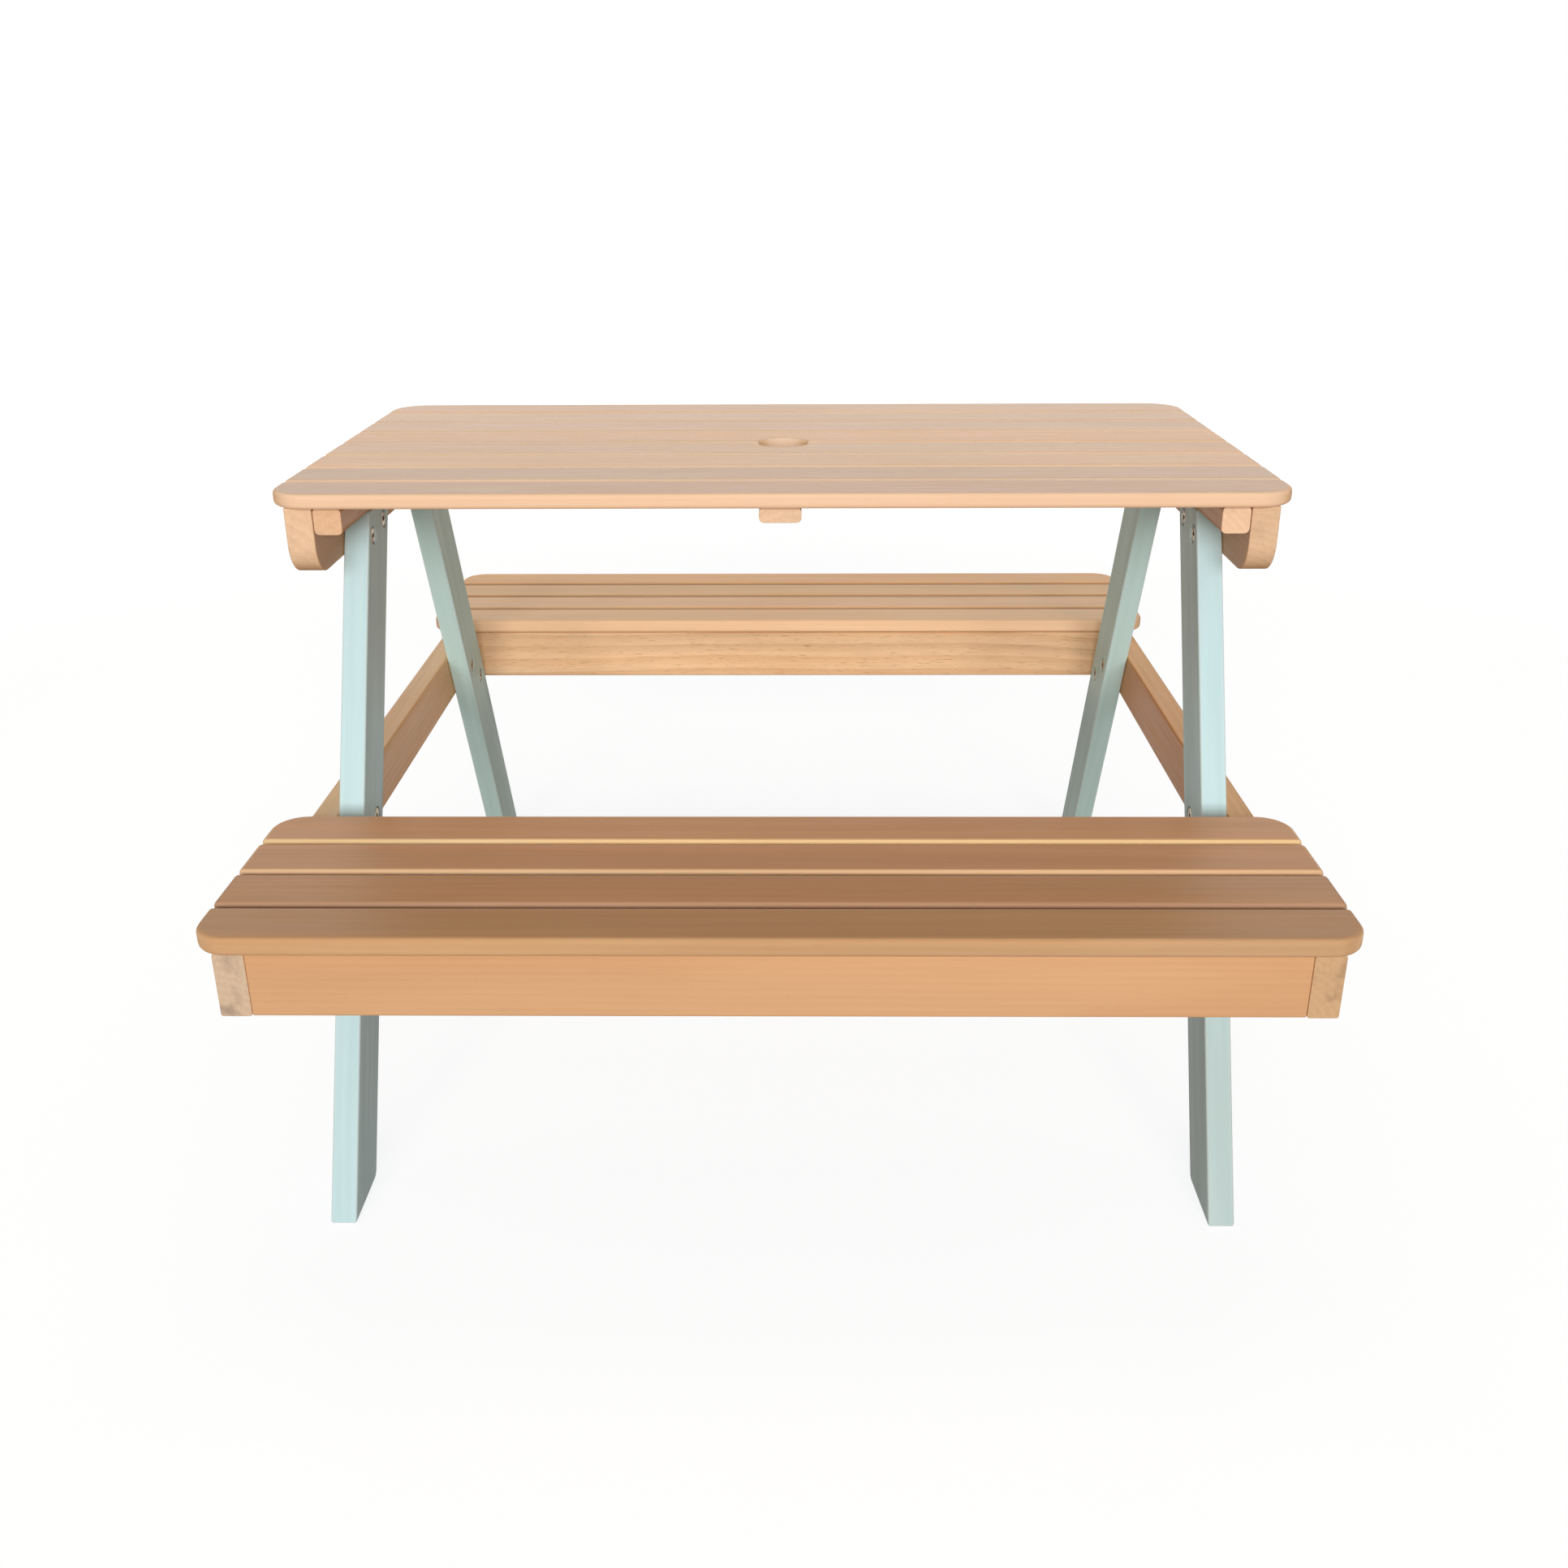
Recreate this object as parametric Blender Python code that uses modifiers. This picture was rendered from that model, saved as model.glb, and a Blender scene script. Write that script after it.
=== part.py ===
"""Children's picnic table: slatted top and two slatted benches on an A-frame.

Metres, +Z up. X runs along the table, Y from the front bench to the rear bench.
The origin is on the floor under the middle of the table.
"""

import math

import bmesh
import bpy
from mathutils import Vector

# Table top
TOP_HEIGHT = 0.557
TOP_LENGTH = 0.7964
TOP_END_OVERHANG = 0.0124
TOP_SLAT_COUNT = 8
TOP_SLAT_WIDTH = 0.0498
TOP_SLAT_THICKNESS = 0.012
TOP_SLAT_GAP = 0.005
TOP_CORNER_RADIUS = 0.032
PARASOL_HOLE_RADIUS = 0.022
PARASOL_LIP_RADIUS = 0.003

# Benches
SEAT_HEIGHT = 0.310
SEAT_END_OVERHANG = 0.0142
SEAT_SLAT_COUNT = 4
SEAT_SLAT_WIDTH = 0.0472
SEAT_SLAT_THICKNESS = 0.014
SEAT_SLAT_GAP = 0.005
SEAT_CORNER_RADIUS = 0.025
SEATS_APART = 0.531

# Rounding of the slats and of the frame's boards
SLAT_EDGE_RADIUS = 0.0035
BOARD_EDGE_RADIUS = 0.002
BATTEN_EDGE_RADIUS = 0.004
RAIL_EDGE_RADIUS = 0.0012
BOARD_END_RADIUS = 0.0005

# Boards along Y under the top and under the benches
FRAME_BOARD_THICKNESS = 0.022
TOP_RAIL_HEIGHT = 0.0555
TOP_RAIL_SETBACK = 0.009
TOP_RAIL_END_RADIUS = 0.026
SEAT_SUPPORT_HEIGHT = 0.049
SEAT_SUPPORT_SETBACK = 0.0045

# Battens under the top
TOP_BATTEN_WIDTH = 0.022
TOP_BATTEN_DEPTH = 0.0215
TOP_BATTEN_SIDE_GAP = 0.0005
CENTRE_BATTEN_WIDTH = 0.033
CENTRE_BATTEN_DEPTH = 0.0125
CENTRE_BATTEN_TO_HOLE = 0.0085

# Boards along X and cleats under each bench
APRON_THICKNESS = 0.022
INNER_APRON_HEIGHT = 0.051
INNER_APRON_SETBACK = 0.001
SEAT_CLEAT_WIDTH = 0.022
SEAT_CLEAT_DEPTH = 0.021

# Legs
LEG_THICKNESS = 0.021
LEG_WIDTH = 0.0564
LEG_TOPS_APART = 0.1236
LEG_TO_APRON = 0.0067
FOOT_HEEL_RADIUS = 0.005

# Bolts through the legs
BOLT_HEAD_RADIUS = 0.0065
BOLT_HEAD_THICKNESS = 0.0022
BOLT_HEAD_EDGE = 0.0006
BOLT_SHANK_RADIUS = 0.003
BOLT_TIP_CHAMFER = 0.0006
BOLT_TIP_CLEARANCE = 0.001
BOLT_HOLE_CLEARANCE = 0.0003
SOCKET_ACROSS_FLATS = 0.004
SOCKET_DEPTH = 0.0013
BOLT_RECESS_RADIUS = 0.008
BOLT_RECESS_DEPTH = 0.003
BOLT_HOLE_BACK_WALL = 0.004
TOP_BOLTS_ABOVE_RAIL_EDGE = 0.0157
TOP_BOLTS_SPREAD = 0.0366
TOP_BOLTS_DROP = 0.0058
SEAT_BOLTS_ABOVE_SUPPORT_EDGE = 0.0213
SEAT_BOLTS_SPREAD = 0.0376
SEAT_BOLTS_DROP = 0.0245

# Fits and cuts
JOINT_GAP = 0.0003
CUT_OVERRUN = 0.002
MERGE_DISTANCE = 0.00001

# Smoothness
CORNER_SEGMENTS = 14
SLAT_EDGE_SEGMENTS = 4
BOARD_EDGE_SEGMENTS = 4
BOARD_END_SEGMENTS = 2
ROUND_STEPS = 24
HOLE_STEPS = 48
LIP_STEPS = 4
SHARP_ANGLE = math.radians(30)
CORNER_ANGLE = math.radians(50)
ROUND_PROFILE = 0.5
MOSTLY_ALONG = 0.5

# Places worked out from the sizes above
TOP_UNDERSIDE = TOP_HEIGHT - TOP_SLAT_THICKNESS
TOP_SLAT_PITCH = TOP_SLAT_WIDTH + TOP_SLAT_GAP
TOP_DEPTH = TOP_SLAT_COUNT * TOP_SLAT_PITCH - TOP_SLAT_GAP
UNDER_TOP = TOP_UNDERSIDE - JOINT_GAP

FRAME_WIDTH = TOP_LENGTH - 2 * TOP_END_OVERHANG
SEAT_LENGTH = FRAME_WIDTH + 2 * SEAT_END_OVERHANG
SEAT_UNDERSIDE = SEAT_HEIGHT - SEAT_SLAT_THICKNESS
SEAT_SLAT_PITCH = SEAT_SLAT_WIDTH + SEAT_SLAT_GAP
SEAT_DEPTH = SEAT_SLAT_COUNT * SEAT_SLAT_PITCH - SEAT_SLAT_GAP
SEAT_INNER_Y = SEATS_APART / 2
SEAT_OUTER_Y = SEAT_INNER_Y + SEAT_DEPTH
UNDER_SEAT = SEAT_UNDERSIDE - JOINT_GAP

FRAME_BOARD_X = (FRAME_WIDTH - FRAME_BOARD_THICKNESS) / 2
FRAME_INNER_X = FRAME_BOARD_X - FRAME_BOARD_THICKNESS / 2

TOP_RAIL_LENGTH = TOP_DEPTH - 2 * TOP_RAIL_SETBACK
TOP_RAIL_BOTTOM = UNDER_TOP - TOP_RAIL_HEIGHT
TOP_BATTEN_X = FRAME_INNER_X - TOP_BATTEN_SIDE_GAP - TOP_BATTEN_WIDTH / 2
TOP_BATTEN_BOTTOM = UNDER_TOP - TOP_BATTEN_DEPTH

SUPPORT_LENGTH = 2 * (SEAT_OUTER_Y - SEAT_SUPPORT_SETBACK)
SUPPORT_BOTTOM = UNDER_SEAT - SEAT_SUPPORT_HEIGHT
APRON_LENGTH = 2 * (FRAME_INNER_X - JOINT_GAP)
OUTER_APRON_Y = SUPPORT_LENGTH / 2 - APRON_THICKNESS / 2
INNER_APRON_Y = SEAT_INNER_Y + INNER_APRON_SETBACK + APRON_THICKNESS / 2
CLEAT_LENGTH = OUTER_APRON_Y - INNER_APRON_Y - APRON_THICKNESS - 2 * JOINT_GAP
CLEAT_Y = (OUTER_APRON_Y + INNER_APRON_Y) / 2
CLEAT_X = FRAME_INNER_X - JOINT_GAP - SEAT_CLEAT_WIDTH / 2

LEG_OUTER_X = FRAME_INNER_X - JOINT_GAP
LEG_INNER_X = LEG_OUTER_X - LEG_THICKNESS
LEG_TOP = TOP_BATTEN_BOTTOM - JOINT_GAP

# The leg's outer edge passes the inner apron's lower corner at LEG_TO_APRON, and its
# inner edge ends half of LEG_TOPS_APART from the middle. The lean follows from both.
PASSING_Y = SEAT_INNER_Y + INNER_APRON_SETBACK - LEG_TO_APRON
LEG_RUN = PASSING_Y - LEG_TOPS_APART / 2
LEG_RISE = LEG_TOP - SUPPORT_BOTTOM
LEG_LEAN = math.acos(LEG_WIDTH / math.hypot(LEG_RUN, LEG_RISE)) - math.atan2(LEG_RISE, LEG_RUN)
LEG_LEVEL_WIDTH = LEG_WIDTH / math.cos(LEG_LEAN)
FOOT_OUTER_Y = PASSING_Y + SUPPORT_BOTTOM * math.tan(LEG_LEAN)

SLAT_WOOD = ("slat_wood", (0.72, 0.53, 0.37), 0.62, 0.0)
FRAME_WOOD = ("frame_wood", (0.80, 0.58, 0.40), 0.60, 0.0)
LEG_PAINT = ("leg_paint", (0.55, 0.68, 0.64), 0.45, 0.0)
BOLT_METAL = ("bolt_metal", (0.62, 0.52, 0.34), 0.35, 1.0)

SIDES = {"left": -1, "right": 1}
ENDS = {"front": -1, "rear": 1}


def empty_the_scene():
    for item in list(bpy.data.objects):
        bpy.data.objects.remove(item, do_unlink=True)


def make_collection(name):
    collection = bpy.data.collections.new(name)
    bpy.context.scene.collection.children.link(collection)
    return collection


def make_material(name, colour, roughness, metallic):
    material = bpy.data.materials.new(name)
    material.use_nodes = True
    shader = material.node_tree.nodes["Principled BSDF"]
    shader.inputs["Base Color"].default_value = (*colour, 1.0)
    shader.inputs["Roughness"].default_value = roughness
    shader.inputs["Metallic"].default_value = metallic
    return material


def block(length_x, length_y, length_z):
    """A box round its own middle, as a bmesh."""
    shape = bmesh.new()
    bmesh.ops.create_cube(shape, size=1)
    bmesh.ops.scale(shape, vec=Vector((length_x, length_y, length_z)), verts=shape.verts)
    return shape


def round_off(shape, edges, radius, segments):
    bmesh.ops.bevel(
        shape,
        geom=edges,
        offset=radius,
        segments=segments,
        profile=ROUND_PROFILE,
        affect="EDGES",
        clamp_overlap=True,
    )


def middle_of(edge):
    return (edge.verts[0].co + edge.verts[1].co) / 2


def direction_of(edge):
    return (edge.verts[1].co - edge.verts[0].co).normalized()


def to_mesh(shape, name):
    mesh = bpy.data.meshes.new(name)
    shape.to_mesh(mesh)
    shape.free()
    return mesh


def place(name, mesh, location, material, turn=0.0):
    """Adds one named sub-part. turn is its rotation about Y."""
    part = bpy.data.objects.new(name, mesh)
    if not mesh.materials:
        mesh.materials.append(MATERIALS[material[0]])
    part.location = location
    part.rotation_euler = (0.0, turn, 0.0)
    part.parent = TABLE
    PARTS.objects.link(part)
    return part


def soften_edges(part, radius, segments):
    bevel = part.modifiers.new("soft_edges", "BEVEL")
    bevel.width = radius
    bevel.segments = segments
    bevel.limit_method = "ANGLE"
    bevel.angle_limit = CORNER_ANGLE
    return part


def cut(part, cutters):
    """Takes all the cutters from a part in one step."""
    group = bpy.data.collections.new("cuts_" + part.name)
    CUTTERS.children.link(group)
    for cutter in cutters:
        group.objects.link(cutter)
    boolean = part.modifiers.new("cuts", "BOOLEAN")
    boolean.operation = "DIFFERENCE"
    boolean.solver = "EXACT"
    boolean.operand_type = "COLLECTION"
    boolean.collection = group


def cutter_object(name, mesh, location, turn=0.0):
    cutter = bpy.data.objects.new(name, mesh)
    cutter.location = location
    cutter.rotation_euler = (0.0, turn, 0.0)
    cutter.hide_render = True
    cutter.display_type = "WIRE"
    CUTTERS.objects.link(cutter)
    return cutter


def profile_mesh(name, points):
    """A half section in the XZ plane, listed from the top of the axis down its outer side."""
    mesh = bpy.data.meshes.new(name)
    corners = [(radius, 0.0, height) for radius, height in points]
    mesh.from_pydata(corners, [(i, i + 1) for i in range(len(corners) - 1)], [])
    return mesh


def turn_profile(part, steps):
    screw = part.modifiers.new("turned", "SCREW")
    screw.axis = "Z"
    screw.angle = math.tau
    screw.screw_offset = 0.0
    screw.steps = steps
    screw.render_steps = steps
    screw.use_merge_vertices = True
    screw.merge_threshold = MERGE_DISTANCE
    screw.use_smooth_shade = True
    return part


def board(name, size, location, material, edge_radius=BOARD_EDGE_RADIUS):
    """A planed board. Its long edges are rounded, and the edges of its square ends only just."""
    shape = block(*size)
    longest = size.index(max(size))
    long_edges = [edge for edge in shape.edges if abs(direction_of(edge)[longest]) > MOSTLY_ALONG]
    round_off(shape, long_edges, edge_radius, BOARD_EDGE_SEGMENTS)
    part = place(name, to_mesh(shape, name), location, material)
    return soften_edges(part, BOARD_END_RADIUS, BOARD_END_SEGMENTS)


def slat_mesh(name, size, corner_side, corner_radius):
    """A slat along X. corner_side is -1 or 1 for an outermost slat, whose corners there are round."""
    shape = block(*size)
    if corner_side:
        corners = [
            edge
            for edge in shape.edges
            if abs(direction_of(edge).z) > MOSTLY_ALONG and middle_of(edge).y * corner_side > 0
        ]
        round_off(shape, corners, corner_radius, CORNER_SEGMENTS)
    return to_mesh(shape, name)


def outermost(index, count):
    """-1 on the first slat, 1 on the last, 0 between them."""
    return {0: -1, count - 1: 1}.get(index, 0)


def make_top():
    slats = []
    size = (TOP_LENGTH, TOP_SLAT_WIDTH, TOP_SLAT_THICKNESS)
    first_y = (TOP_SLAT_WIDTH - TOP_DEPTH) / 2
    for index in range(TOP_SLAT_COUNT):
        name = f"top_slat_{index + 1}"
        side = outermost(index, TOP_SLAT_COUNT)
        mesh = slat_mesh(name, size, side, TOP_CORNER_RADIUS)
        location = (0.0, first_y + index * TOP_SLAT_PITCH, TOP_HEIGHT - TOP_SLAT_THICKNESS / 2)
        slat = place(name, mesh, location, SLAT_WOOD)
        slats.append(soften_edges(slat, SLAT_EDGE_RADIUS, SLAT_EDGE_SEGMENTS))
    hole = parasol_cutter()
    for slat in slats:
        if abs(slat.location.y) - TOP_SLAT_WIDTH / 2 < PARASOL_HOLE_RADIUS:
            cut(slat, [hole])


def parasol_cutter():
    """The hole for a parasol pole, with a rounded lip at the table's upper face."""
    outer = PARASOL_HOLE_RADIUS + PARASOL_LIP_RADIUS
    lip_height = TOP_HEIGHT - PARASOL_LIP_RADIUS
    points = [(0.0, TOP_HEIGHT + CUT_OVERRUN), (outer, TOP_HEIGHT + CUT_OVERRUN)]
    for step in range(LIP_STEPS + 1):
        angle = math.pi / 2 * (1 - step / LIP_STEPS)
        across = outer - PARASOL_LIP_RADIUS * math.cos(angle)
        points.append((across, lip_height + PARASOL_LIP_RADIUS * math.sin(angle)))
    points.append((PARASOL_HOLE_RADIUS, TOP_UNDERSIDE - CUT_OVERRUN))
    points.append((0.0, TOP_UNDERSIDE - CUT_OVERRUN))
    cutter = cutter_object("parasol_hole", profile_mesh("parasol_hole", points), (0.0, 0.0, 0.0))
    return turn_profile(cutter, HOLE_STEPS)


def make_top_battens():
    side_size = (TOP_BATTEN_WIDTH, TOP_RAIL_LENGTH, TOP_BATTEN_DEPTH)
    for side, sign in SIDES.items():
        location = (sign * TOP_BATTEN_X, 0.0, UNDER_TOP - TOP_BATTEN_DEPTH / 2)
        board(f"top_batten_{side}", side_size, location, FRAME_WOOD, BATTEN_EDGE_RADIUS)
    # The hole is wider than the middle batten, so that batten is in two lengths.
    clear = PARASOL_HOLE_RADIUS + CENTRE_BATTEN_TO_HOLE
    length = TOP_RAIL_LENGTH / 2 - clear
    centre_size = (CENTRE_BATTEN_WIDTH, length, CENTRE_BATTEN_DEPTH)
    for end, sign in ENDS.items():
        location = (0.0, sign * (clear + length / 2), UNDER_TOP - CENTRE_BATTEN_DEPTH / 2)
        board(f"top_batten_centre_{end}", centre_size, location, FRAME_WOOD, BATTEN_EDGE_RADIUS)


def make_top_rails():
    size = (FRAME_BOARD_THICKNESS, TOP_RAIL_LENGTH, TOP_RAIL_HEIGHT)
    rails = {}
    for side, sign in SIDES.items():
        shape = block(*size)
        lower_ends = [
            edge
            for edge in shape.edges
            if abs(direction_of(edge).x) > MOSTLY_ALONG and middle_of(edge).z < 0
        ]
        round_off(shape, lower_ends, TOP_RAIL_END_RADIUS, CORNER_SEGMENTS)
        name = f"top_rail_{side}"
        location = (sign * FRAME_BOARD_X, 0.0, UNDER_TOP - TOP_RAIL_HEIGHT / 2)
        rail = place(name, to_mesh(shape, name), location, FRAME_WOOD)
        rails[side] = soften_edges(rail, RAIL_EDGE_RADIUS, BOARD_EDGE_SEGMENTS)
    return rails


def make_seat_supports():
    size = (FRAME_BOARD_THICKNESS, SUPPORT_LENGTH, SEAT_SUPPORT_HEIGHT)
    height = UNDER_SEAT - SEAT_SUPPORT_HEIGHT / 2
    return {
        side: board(f"seat_support_{side}", size, (sign * FRAME_BOARD_X, 0.0, height), FRAME_WOOD)
        for side, sign in SIDES.items()
    }


def make_bench(end, sign):
    """Slats numbered from the table outwards, two aprons between the supports, and three cleats."""
    size = (SEAT_LENGTH, SEAT_SLAT_WIDTH, SEAT_SLAT_THICKNESS)
    for index in range(SEAT_SLAT_COUNT):
        name = f"{end}_seat_slat_{index + 1}"
        side = sign * outermost(index, SEAT_SLAT_COUNT)
        mesh = slat_mesh(name, size, side, SEAT_CORNER_RADIUS)
        y = sign * (SEAT_INNER_Y + SEAT_SLAT_WIDTH / 2 + index * SEAT_SLAT_PITCH)
        slat = place(name, mesh, (0.0, y, SEAT_HEIGHT - SEAT_SLAT_THICKNESS / 2), SLAT_WOOD)
        soften_edges(slat, SLAT_EDGE_RADIUS, SLAT_EDGE_SEGMENTS)

    aprons = (("outer", OUTER_APRON_Y, SEAT_SUPPORT_HEIGHT), ("inner", INNER_APRON_Y, INNER_APRON_HEIGHT))
    for name, y, height in aprons:
        location = (0.0, sign * y, UNDER_SEAT - height / 2)
        board(f"{end}_seat_{name}_apron", (APRON_LENGTH, APRON_THICKNESS, height), location, FRAME_WOOD)

    cleat_size = (SEAT_CLEAT_WIDTH, CLEAT_LENGTH, SEAT_CLEAT_DEPTH)
    cleat_height = UNDER_SEAT - SEAT_CLEAT_DEPTH / 2
    for name, x in (("left", -CLEAT_X), ("centre", 0.0), ("right", CLEAT_X)):
        board(f"{end}_seat_cleat_{name}", cleat_size, (x, sign * CLEAT_Y, cleat_height), FRAME_WOOD)


def leg_mesh(name, end_sign):
    """A leaning board, level at its foot and at its top, with its origin over the floor line."""
    shape = block(LEG_THICKNESS, LEG_LEVEL_WIDTH, LEG_TOP)
    for vertex in shape.verts:
        vertex.co.z += LEG_TOP / 2
        vertex.co.y -= end_sign * vertex.co.z * math.tan(LEG_LEAN)
    heel = [
        edge
        for edge in shape.edges
        if abs(direction_of(edge).x) > MOSTLY_ALONG
        and middle_of(edge).z < LEG_TOP / 2
        and middle_of(edge).y * end_sign < 0
    ]
    round_off(shape, heel, FOOT_HEEL_RADIUS, BOARD_EDGE_SEGMENTS)
    return to_mesh(shape, name)


def leg_middle_y(height):
    return FOOT_OUTER_Y - LEG_LEVEL_WIDTH / 2 - height * math.tan(LEG_LEAN)


def bolt_places():
    """(joint, bolt number, distance from the middle, height) for the bolts of one leg."""
    joints = {
        "top": (TOP_RAIL_BOTTOM + TOP_BOLTS_ABOVE_RAIL_EDGE, TOP_BOLTS_SPREAD, TOP_BOLTS_DROP),
        "seat": (SUPPORT_BOTTOM + SEAT_BOLTS_ABOVE_SUPPORT_EDGE, SEAT_BOLTS_SPREAD, SEAT_BOLTS_DROP),
    }
    for joint, (height, spread, drop) in joints.items():
        for number, way in ((1, -1), (2, 1)):
            yield joint, number, leg_middle_y(height) + way * spread / 2, height - way * drop / 2


def bolt_profile():
    head_top = BOLT_HEAD_THICKNESS
    grip = FRAME_BOARD_THICKNESS - BOLT_HOLE_BACK_WALL - BOLT_TIP_CLEARANCE
    tip = -(LEG_THICKNESS - BOLT_RECESS_DEPTH + JOINT_GAP + grip)
    return [
        (0.0, head_top),
        (BOLT_HEAD_RADIUS - BOLT_HEAD_EDGE, head_top),
        (BOLT_HEAD_RADIUS, head_top - BOLT_HEAD_EDGE),
        (BOLT_HEAD_RADIUS, 0.0),
        (BOLT_SHANK_RADIUS, 0.0),
        (BOLT_SHANK_RADIUS, tip + BOLT_TIP_CHAMFER),
        (BOLT_SHANK_RADIUS - BOLT_TIP_CHAMFER, tip),
        (0.0, tip),
    ]


def bolt_hole_profile():
    mouth = BOLT_RECESS_DEPTH + CUT_OVERRUN
    hole = BOLT_SHANK_RADIUS + BOLT_HOLE_CLEARANCE
    bottom = -(LEG_THICKNESS - BOLT_RECESS_DEPTH + JOINT_GAP + FRAME_BOARD_THICKNESS - BOLT_HOLE_BACK_WALL)
    return [
        (0.0, mouth),
        (BOLT_RECESS_RADIUS, mouth),
        (BOLT_RECESS_RADIUS, 0.0),
        (hole, 0.0),
        (hole, bottom),
        (0.0, bottom),
    ]


def socket_mesh():
    """Six-sided cutter for the bolt's socket, standing on its lower face."""
    shape = bmesh.new()
    radius = SOCKET_ACROSS_FLATS / math.sqrt(3)
    depth = SOCKET_DEPTH + CUT_OVERRUN
    bmesh.ops.create_cone(shape, cap_ends=True, segments=6, radius1=radius, radius2=radius, depth=depth)
    bmesh.ops.translate(shape, vec=Vector((0.0, 0.0, depth / 2)), verts=shape.verts)
    return to_mesh(shape, "bolt_socket")


def make_legs(rails, supports):
    meshes = {end: leg_mesh(f"leg_{end}", sign) for end, sign in ENDS.items()}
    bolt_mesh = profile_mesh("bolt", bolt_profile())
    hole_mesh = profile_mesh("bolt_hole", bolt_hole_profile())
    key_mesh = socket_mesh()
    foot_y = FOOT_OUTER_Y - LEG_LEVEL_WIDTH / 2
    recess_floor = LEG_INNER_X + BOLT_RECESS_DEPTH
    holes = {board: [] for board in (*rails.values(), *supports.values())}
    for end, end_sign in ENDS.items():
        for side, side_sign in SIDES.items():
            x = side_sign * (LEG_INNER_X + LEG_THICKNESS / 2)
            leg = place(f"leg_{end}_{side}", meshes[end], (x, end_sign * foot_y, 0.0), LEG_PAINT)
            soften_edges(leg, BOARD_EDGE_RADIUS, BOARD_EDGE_SEGMENTS)
            holes[leg] = []
            carried = {"top": rails[side], "seat": supports[side]}
            turn = -side_sign * math.pi / 2
            for joint, number, y, height in bolt_places():
                label = f"{end}_{side}_{joint}_{number}"
                hole_at = (side_sign * recess_floor, end_sign * y, height)
                hole = turn_profile(cutter_object(f"hole_{label}", hole_mesh, hole_at, turn), ROUND_STEPS)
                holes[leg].append(hole)
                holes[carried[joint]].append(hole)
                bolt_at = (side_sign * (recess_floor - JOINT_GAP), end_sign * y, height)
                bolt = turn_profile(place(f"bolt_{label}", bolt_mesh, bolt_at, BOLT_METAL, turn), ROUND_STEPS)
                key_x = recess_floor - JOINT_GAP - BOLT_HEAD_THICKNESS + SOCKET_DEPTH
                key_at = (side_sign * key_x, end_sign * y, height)
                cut(bolt, [cutter_object(f"socket_{label}", key_mesh, key_at, turn)])
    for part, cutters in holes.items():
        cut(part, cutters)


def shade_parts():
    for part in PARTS.objects:
        if part.type == "MESH" and part.data.polygons:
            part.data.shade_smooth()
            part.data.set_sharp_from_angle(angle=SHARP_ANGLE)


empty_the_scene()
PARTS = make_collection("kids_picnic_table")
CUTTERS = make_collection("cutters")
TABLE = bpy.data.objects.new("table_origin", None)
PARTS.objects.link(TABLE)
MATERIALS = {look[0]: make_material(*look) for look in (SLAT_WOOD, FRAME_WOOD, LEG_PAINT, BOLT_METAL)}

make_top()
make_top_battens()
make_legs(make_top_rails(), make_seat_supports())
for bench_end, bench_sign in ENDS.items():
    make_bench(bench_end, bench_sign)
shade_parts()
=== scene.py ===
# %% [markdown]
# ## A kids picnic table
# The real table is a low slatted top with a slatted bench on each side. Boards of pale oiled
# hardwood make the top, the benches and the frame, and four painted legs lean outwards under it.
# Every board is already modelled to size in the loaded model, so this lesson gives each one its
# finish, adds the small screws that hold the slats, and sets up the light and the camera.

# %% Load the modelled table
import math
import random

import bmesh
import bpy
from mathutils import Euler, Matrix, Vector


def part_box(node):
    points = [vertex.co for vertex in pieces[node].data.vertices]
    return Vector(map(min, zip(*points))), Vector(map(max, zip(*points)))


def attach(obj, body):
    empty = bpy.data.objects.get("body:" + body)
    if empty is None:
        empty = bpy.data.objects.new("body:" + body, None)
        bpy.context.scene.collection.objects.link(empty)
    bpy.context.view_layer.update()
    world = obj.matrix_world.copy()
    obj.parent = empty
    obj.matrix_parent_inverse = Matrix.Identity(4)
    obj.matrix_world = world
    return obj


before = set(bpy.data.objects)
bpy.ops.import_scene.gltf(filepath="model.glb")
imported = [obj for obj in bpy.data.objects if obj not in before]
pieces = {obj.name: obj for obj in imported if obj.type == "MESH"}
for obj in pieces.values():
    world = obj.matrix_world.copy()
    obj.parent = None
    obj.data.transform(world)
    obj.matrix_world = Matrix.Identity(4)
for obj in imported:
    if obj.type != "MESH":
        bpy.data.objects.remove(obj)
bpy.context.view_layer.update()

print(len(pieces), "pieces in the model")

# %% [markdown]
# ## The camera
# The picture was taken from in front and a little above, close enough for the benches to spread
# towards the viewer. A camera can be aimed by hand, or worked out from edges that are known to be
# level, upright or parallel. The second way was used: these numbers put the model's edges where
# the picture has them. The small downward shift of the lens is part of the picture's framing.

# %% Aim the camera
PICTURE_SIZE = 1932
FOCAL_LENGTH_IN_PIXELS = 1860.8
LENS_SHIFT_IN_PIXELS = -18.1
CAMERA_PLACE = Vector((0.0173, -1.3622, 0.8039))
CAMERA_PITCH = math.radians(22.5)
CAMERA_YAW = math.radians(-0.76)
CAMERA_ROLL = math.radians(-0.29)

ahead = Vector((
    math.sin(CAMERA_YAW) * math.cos(CAMERA_PITCH),
    math.cos(CAMERA_YAW) * math.cos(CAMERA_PITCH),
    -math.sin(CAMERA_PITCH),
))
level_right = Vector((math.cos(CAMERA_YAW), -math.sin(CAMERA_YAW), 0))
level_up = level_right.cross(ahead)
right = level_right * math.cos(CAMERA_ROLL) + level_up * math.sin(CAMERA_ROLL)
up = level_up * math.cos(CAMERA_ROLL) - level_right * math.sin(CAMERA_ROLL)

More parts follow.
